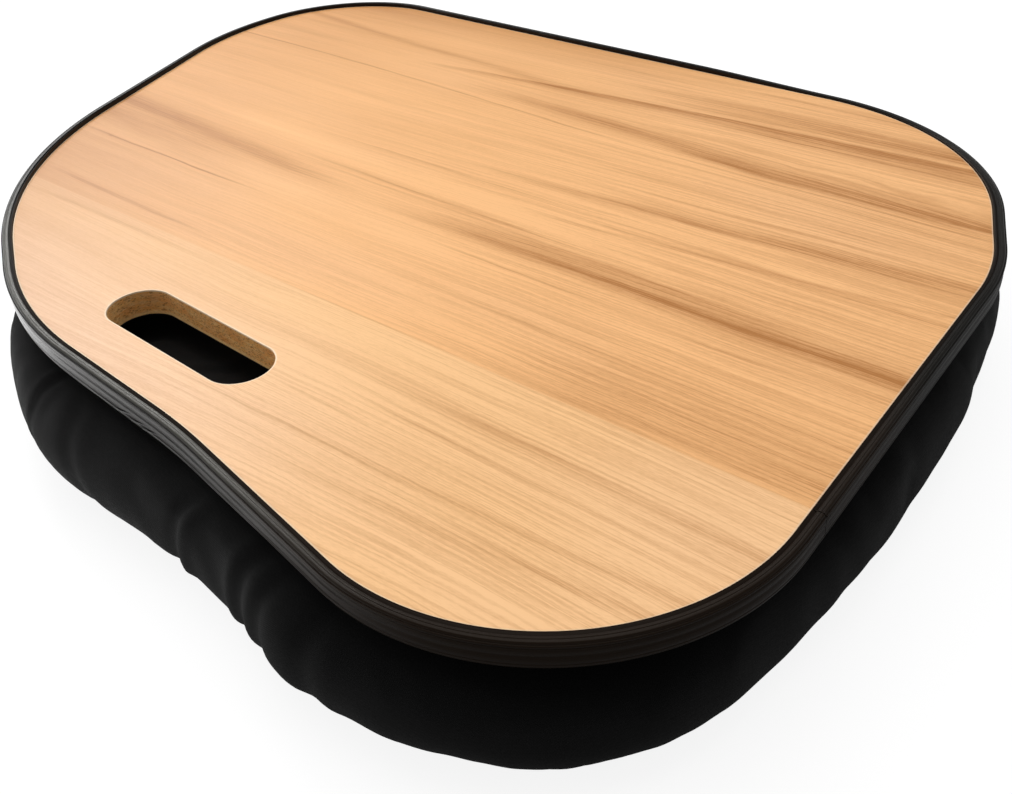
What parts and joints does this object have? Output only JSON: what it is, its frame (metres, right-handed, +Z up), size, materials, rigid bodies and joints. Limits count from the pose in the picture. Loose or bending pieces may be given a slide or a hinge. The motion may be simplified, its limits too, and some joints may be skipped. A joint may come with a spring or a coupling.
{
  "type": "lap desk",
  "caption": "Lap desk: an asymmetric rounded wood-effect board with a handle slot and a ribbed black edge band, lifting off a soft zipped cushion.",
  "frame": {"origin": "centre of the bounding box, on the surface that the cushion rests on", "axes": "+X along the straight back edge and the handle slot, +Y towards the back edge, +Z up"},
  "size_m": [0.5136, 0.3938, 0.0605],
  "materials": {
    "particleboard": "raw, speckled",
    "wood_laminate": "satin print of beech planks",
    "black_laminate": "matt backing sheet",
    "black_edging": "glossy extruded edging",
    "staple_steel": "galvanised wire",
    "black_cloth": "plain woven cotton-polyester",
    "binding_tape": "woven tape",
    "liner_cloth": "undyed lining",
    "filling_beads": "small foam beads",
    "zip_tape": "woven tape",
    "zip_plastic": "moulded teeth",
    "zip_metal": "black enamel",
    "hook_tape": "stiff hooks",
    "loop_tape": "soft loops"
  },
  "bodies": {
    "cushion": {"cover_bottom": "black_cloth", "cover_side": "black_cloth", "cover_top": "black_cloth", "upper_seam_binding": "binding_tape", "lower_seam_binding": "binding_tape", "liner_bag": "liner_cloth", "bead_filling": "filling_beads", "zip_tape_upper": "zip_tape", "zip_tape_lower": "zip_tape", "zip_teeth_upper": "zip_plastic", "zip_teeth_lower": "zip_plastic", "zip_stops": "zip_metal", "loop_strip_back": "loop_tape", "loop_strip_front": "loop_tape", "loop_strip_left": "loop_tape", "loop_strip_right": "loop_tape"},
    "board": {"board_core": "particleboard", "top_laminate": "wood_laminate", "back_laminate": "black_laminate", "edge_band": "black_edging", "strip_staples": "staple_steel", "hook_strip_back": "hook_tape", "hook_strip_front": "hook_tape", "hook_strip_left": "hook_tape", "hook_strip_right": "hook_tape"},
    "zip_slider": {"zip_slider": "zip_metal"},
    "zip_puller": {"zip_puller": "zip_metal"}
  },
  "joints": [
    {"name": "board_lift", "type": "slide", "parent": "cushion", "child": "board", "axis": [0, 0, 1], "range_m": [0, 0.12]},
    {"name": "zip_travel", "type": "slide", "parent": "cushion", "child": "zip_slider", "axis": [-1, 0, 0], "range_m": [0, 0.2406]},
    {"name": "puller_flip", "type": "hinge", "parent": "zip_slider", "child": "zip_puller", "pos_m": [0.08461, 0.19483, 0.0243], "axis": [0, 0, -1], "range_deg": [0, 170]}
  ]
}
